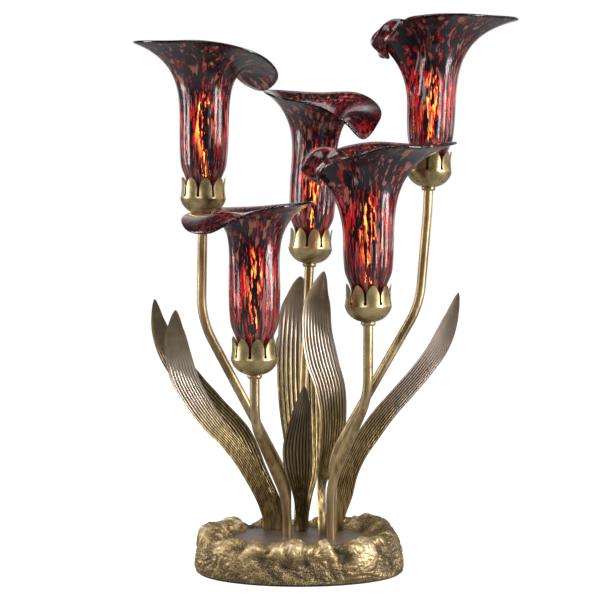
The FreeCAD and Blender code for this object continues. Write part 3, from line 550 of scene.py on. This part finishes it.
# --- Glass shades -------------------------------------------------------------------------
# Blown by mouth: clear glass over ruby glass, rolled in black and copper grains that the
# blowing drew into long streaks. The tube was ribbed in a mould, the lip spun out, then
# tooled while soft: one side is pulled to a tip, the other droops or curls under.
wall = 0.0025
rims = {
    "upper_left": [(10, 71, 134, 130), (30, 66, 126, 150), (50, 60, 132, 140), (75, 58, 152, 100),
                   (100, 60, 164, 75), (130, 64, 171, 62), (155, 67, 170, 66), (180, 71, 168, 70),
                   (240, 60, 165, 65), (270, 60, 165, 66), (300, 63, 161, 75), (325, 68, 154, 90),
                   (350, 71, 143, 110)],
    "back": [(15, 66, 168, 85), (45, 64, 182, 60), (90, 58, 182, 50), (135, 60, 181, 50), (180, 57, 176, 60),
             (225, 55, 166, 70), (270, 55, 158, 82), (300, 56, 144, 112), (322, 60, 130, 150),
             (345, 65, 149, 122)],
    "upper_right": [(0, 84, 170, 75), (40, 66, 168, 70), (90, 60, 166, 72), (135, 62, 162, 88),
                    (155, 60, 147, 128), (168, 54, 133, 188), (182, 47, 130, 232), (196, 47, 130, 232),
                    (208, 54, 137, 180), (220, 56, 150, 122), (235, 57, 161, 92), (255, 58, 165, 75),
                    (285, 62, 167, 70), (320, 68, 168, 70)],
    "lower_right": [(0, 84, 171, 72), (40, 66, 170, 66), (90, 60, 172, 60), (130, 60, 161, 85),
                    (150, 58, 150, 125), (165, 54, 138, 185), (180, 48, 134, 230), (196, 48, 134, 230),
                    (210, 54, 139, 175), (222, 57, 147, 130), (240, 58, 152, 100), (262, 58, 159, 85),
                    (285, 60, 165, 75), (320, 66, 166, 72)],
    "lower_left": [(0, 56, 164, 65), (45, 60, 162, 65), (90, 58, 158, 72), (135, 62, 156, 80), (180, 68, 148, 105),
                   (212, 66, 137, 138), (232, 63, 137, 142), (252, 59, 147, 115), (275, 56, 156, 90),
                   (300, 56, 160, 76), (330, 56, 163, 68)],
}

ruby = Finish("streaked ruby glass")
flow = ruby.attribute("flow", "Vector")
local = ruby.attribute("local", "Vector")
inner = ruby.attribute("inner").between(0.4, 0.6)
bare = ruby.attribute("bare")
level = ruby.add("ShaderNodeSeparateXYZ", {}, {"Vector": local}, "Z")
off = (level - 0.092) / 0.030
glow = off.math("EXPONENT", off * off * -1.0)
flared = level.between(0.105, 0.135)
fine_streak = ruby.noise(flow, 10.0, 4.0, 0.62)
broad_streak = ruby.noise(ruby.stretch(flow, (1, 1, 1), (3.1, 0.4, 7.7)), 6.0, 4.0, 0.62)
copper_streak = ruby.noise(ruby.stretch(flow, (1, 1, 1), (9.3, 5.1, 2.2)), 7.5, 3.0, 0.55)
copper = copper_streak.between(0.58, 0.605)
black = (fine_streak * 0.55 + broad_streak * 0.45 + flared * 0.03 - glow * 0.01).between(0.455, 0.49)
vein_far = ruby.add("ShaderNodeTexVoronoi", {"feature": "DISTANCE_TO_EDGE"},
                    {"Vector": ruby.stretch(flow, (1, 1, 1.4)), "Scale": 9.0}, "Distance")
crackle = (vein_far + (fine_streak - 0.5) * 0.7).between(0.03, 0.10)
cover = ruby.blend(inner, copper.most(black), crackle.most(black * 0.6))
speckle = ruby.noise(local, 900.0, 2.0, 0.7)
# painted glow: near the bulb's height the copper grains turn a lighter salmon and shine warm
copper_with_painted_glow = ruby.blend(glow * (0.5 + speckle), (0.25, 0.085, 0.065), (0.42, 0.11, 0.07))
frit = ruby.blend(copper * (1 - inner), (0.005, 0.003, 0.005),
                  ruby.blend(speckle.between(0.35, 0.65), (0.16, 0.045, 0.035), copper_with_painted_glow))
painted_glow_on_copper = ruby.blend(copper * (1 - inner) * glow, (0.0, 0.0, 0.0), (0.24, 0.045, 0.03))
opaque = ruby.principled(Base_Color=frit, Metallic=0.3 * copper, Roughness=0.35, Specular_IOR_Level=0.1,
                         Emission_Color=painted_glow_on_copper, Emission_Strength=1.0)
red_pass = ruby.add("ShaderNodeBsdfTransparent", {}, {"Color": (0.97, 0.45, 0.24)})
red_tone = ruby.blend(fine_streak.between(0.4, 0.6), (0.20, 0.002, 0.006), (0.55, 0.008, 0.016))
red_light = ruby.blend(glow, ruby.blend(inner, (0.08, 0.001, 0.003), (0.40, 0.004, 0.010)),
                       (0.72, 0.010, 0.018))
red_body = ruby.principled(Base_Color=red_tone, Roughness=0.4, Specular_IOR_Level=0.1,
                           Emission_Color=red_light, Emission_Strength=1.0)
red_glass = ruby.layer(0.45, red_pass, red_body)
cased = ruby.layer(cover, red_glass, opaque)
clear_pass = ruby.add("ShaderNodeBsdfTransparent", {}, {"Color": (0.78, 0.74, 0.80)})
cased = ruby.layer(bare, cased, clear_pass)
fresnel = ruby.add("ShaderNodeFresnel", {}, {"IOR": 1.52})
ripple = ruby.bump(broad_streak + fine_streak * 0.3, 0.0004)
gloss = ruby.add("ShaderNodeBsdfGlossy", {}, {"Color": (1, 1, 1), "Roughness": 0.04, "Normal": ripple})
ruby_finish = ruby.done(ruby.layer(fresnel, cased, gloss))


def flare(start, end, lip, share):
    """Cubic curve from the tube's top, upright, to the rim, at the lip's angle; the further
    the lip turns over, the fuller the curve."""
    length = np.hypot(end[0] - start[0], end[1] - start[1])
    fuller = 0.45 * np.maximum(0, lip - 60) / 100
    rise = (0.35 + fuller) * length
    pull = np.minimum(0.45 + fuller, 1.0) * length
    angle = np.radians(lip)
    handles = [(start[0] + 0 * length, start[1] + 0 * length), (start[0] + 0 * length, start[1] + rise),
               (end[0] - pull * np.sin(angle), end[1] - pull * np.cos(angle)), end]
    weights = [(1 - share) ** 3, 3 * share * (1 - share) ** 2, 3 * share ** 2 * (1 - share), share ** 3]
    return [sum(w * handle[i] for w, handle in zip(weights, handles)) for i in (0, 1)]


def glass_shade(place, number):
    """Outer skin, rounded lip and inner skin in one closed grid: the outline goes up the neck
    and tube, out along the flare, round the lip and back down inside, at every azimuth."""
    base, below = [Vector(point) / 1000 for point in seats[place]]
    turn_to = np.array(Vector((0, 0, 1)).rotation_difference(base - below).to_matrix())
    azimuth = np.arange(240) * 1.5
    reach, rim_height, lip = around(azimuth, rims[place]).T
    heights = np.array([7.2, 17.0, 33.0, 47.0, 61.0, 80.0]) / 1000
    radii = np.array([15.5, 15.9, 17.2, 22.3, 23.9, 24.5]) / 1000
    z_tube = np.linspace(heights[0], heights[-1], 60)
    r_tube = through(z_tube, heights, radii)[:, 0]
    share = np.linspace(0, 1, 91)[1:, None]
    r_flare, z_flare = flare((radii[-1], heights[-1]), (reach / 1000, rim_height / 1000), lip[None], share)
    ones = np.ones(len(azimuth))
    r_out = np.concatenate([r_tube[:, None] * ones, r_flare])
    z_out = np.concatenate([z_tube[:, None] * ones, z_flare])
    turn = np.radians(azimuth)
    ribs = 0.00022 * np.cos(turn * 18) * smooth(z_out, 0.03, 0.05) * (1 - smooth(z_out, 0.10, 0.135))
    dr, dz = np.gradient(r_out, axis=0), np.gradient(z_out, axis=0)
    length = np.hypot(dr, dz)
    nr, nz = dz / length, -dr / length
    r_out, z_out = r_out + nr * ribs, z_out + nz * ribs
    steps_out = np.hypot(np.diff(r_out, axis=0), np.diff(z_out, axis=0))
    path = np.cumsum(np.vstack([0 * ones, steps_out]), axis=0)
    r_in, z_in = r_out - nr * wall, z_out - nz * wall
    r_in[0], z_in[0] = r_out[0] - wall, z_out[0]
    bead = np.linspace(0, math.pi, 9)[1:-1, None]
    tangent_r, tangent_z = dr[-1] / length[-1], dz[-1] / length[-1]
    r_mid, z_mid = (r_out[-1] + r_in[-1]) / 2, (z_out[-1] + z_in[-1]) / 2
    r_bead = r_mid + wall / 2 * (np.cos(bead) * nr[-1] + 0.9 * np.sin(bead) * tangent_r)
    z_bead = z_mid + wall / 2 * (np.cos(bead) * nz[-1] + 0.9 * np.sin(bead) * tangent_z)
    radius = np.concatenate([r_out, r_bead, r_in[::-1]])
    height = np.concatenate([z_out, z_bead, z_in[::-1]])
    local = np.stack([radius * np.cos(turn), radius * np.sin(turn), height], -1)
    stretch = 4.6 + 5.5 * smooth(path, 0.085, 0.13)
    drawn = np.cumsum(np.vstack([0 * ones, np.diff(path, axis=0)]) * stretch, axis=0)
    drawn = np.concatenate([drawn, np.broadcast_to(drawn[-1], r_bead.shape), drawn[::-1]])
    flow = np.stack([np.cos(turn) * np.ones_like(drawn), np.sin(turn) * np.ones_like(drawn),
                     drawn + number * 4.0], -1)
    inner = np.concatenate([0 * r_out, np.linspace(0, 1, 9)[1:-1, None] * ones, 0 * r_in + 1])
    to_rim = path[-1] - path
    bare_out = 1 - smooth(to_rim, 0.0008, 0.0035)
    bare = np.concatenate([0.75 * bare_out, 0.9 + 0 * r_bead, 0.5 * bare_out[::-1]])
    bare = np.maximum(bare, 0.85 * (1 - smooth(height, 0.026, 0.036)))
    points = local @ turn_to.T + np.array(base)
    piece = skin("lily_shade_" + place, points, "shade_" + place, ruby_finish,
                 {"flow": flow, "local": local, "inner": inner, "bare": bare},
                 round_rows=True)
    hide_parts("shade_" + place)


for number, place in enumerate(lamp_places):
    glass_shade(place, number)

# --- Floor, light and background ----------------------------------------------------------
# A pale floor, soft lights at the right, the left, the front and above, a white surround.
floor_mesh = bpy.data.meshes.new("floor")
floor_mesh.from_pydata([(-4, -4, 0), (4, -4, 0), (4, 4, 0), (-4, 4, 0)], [], [(0, 1, 2, 3)])
floor = bpy.data.objects.new("floor", floor_mesh)
bpy.context.scene.collection.objects.link(floor)
pale = Finish("pale floor")
camera_ray = pale.add("ShaderNodeLightPath", output="Is Camera Ray")
glossy_ray = pale.add("ShaderNodeLightPath", output="Is Glossy Ray")
passing_ray = pale.add("ShaderNodeLightPath", output="Is Transmission Ray")
seen = camera_ray.most(passing_ray)
matt = pale.principled(Base_Color=pale.blend(glossy_ray, (0.86, 0.86, 0.86), (0.25, 0.25, 0.25)),
                       Roughness=0.9)
white = pale.add("ShaderNodeEmission", {}, {"Color": (1, 1, 1), "Strength": 1.25})
floor_mesh.materials.append(pale.done(pale.layer(seen * 0.72, matt, white)))

world = bpy.data.worlds.new("white surround")
bpy.context.scene.world = world
world.use_nodes = True


class Surround(Finish):
    """The same node maker, working in the tree of the surround."""

    def __init__(self, tree):
        self.tree = tree
        tree.nodes.clear()
        self.out = tree.nodes.new("ShaderNodeOutputWorld")


# Seen directly or through glass it is white. What is mirrored is bright behind, above and to
# the right of the lamp and dim in front of it, where the room stands; the rest is fill light.
sky = Surround(world.node_tree)
direction = sky.add("ShaderNodeTexCoord", output="Generated")
across = sky.add("ShaderNodeSeparateXYZ", {}, {"Vector": direction}, "X")
deep = sky.add("ShaderNodeSeparateXYZ", {}, {"Vector": direction}, "Y")
up = sky.add("ShaderNodeSeparateXYZ", {}, {"Vector": direction}, "Z")
mirrored = 0.05 + 0.8 * (1 - up.between(0.45, 0.8)) * across.between(0.5, 0.7).most(deep.between(0.5, 0.9))
straight = sky.add("ShaderNodeLightPath", output="Is Camera Ray").most(
    sky.add("ShaderNodeLightPath", output="Is Transmission Ray"))
glossy_kind = sky.add("ShaderNodeLightPath", output="Is Glossy Ray")
strength = straight + (1 - straight) * (glossy_kind * mirrored + (1 - glossy_kind) * 0.55)
sky.tree.links.new(sky.add("ShaderNodeBackground", {}, {"Color": (1, 1, 1), "Strength": strength}).socket,
                   sky.out.inputs["Surface"])


def soft_light(name, place, aim, width, height, watts):
    lamp = bpy.data.lights.new(name, "AREA")
    lamp.shape = "RECTANGLE"
    lamp.size = width
    lamp.size_y = height
    lamp.energy = watts
    holder = bpy.data.objects.new(name, lamp)
    holder.location = place
    holder.rotation_euler = (Vector(aim) - Vector(place)).to_track_quat("-Z", "Y").to_euler()
    bpy.context.scene.collection.objects.link(holder)


soft_light("right_box", (1.3, -0.65, 0.6), (0, 0, 0.3), 0.42, 1.3, 25)
soft_light("left_box", (-1.4, 0.05, 0.7), (0, 0, 0.3), 0.5, 1.3, 17)
soft_light("front_fill", (-0.7, -1.7, 1.1), (0, 0, 0.25), 0.8, 0.8, 8)
soft_light("top_box", (0, -0.3, 1.7), (0, 0, 0.2), 1.2, 0.9, 15)
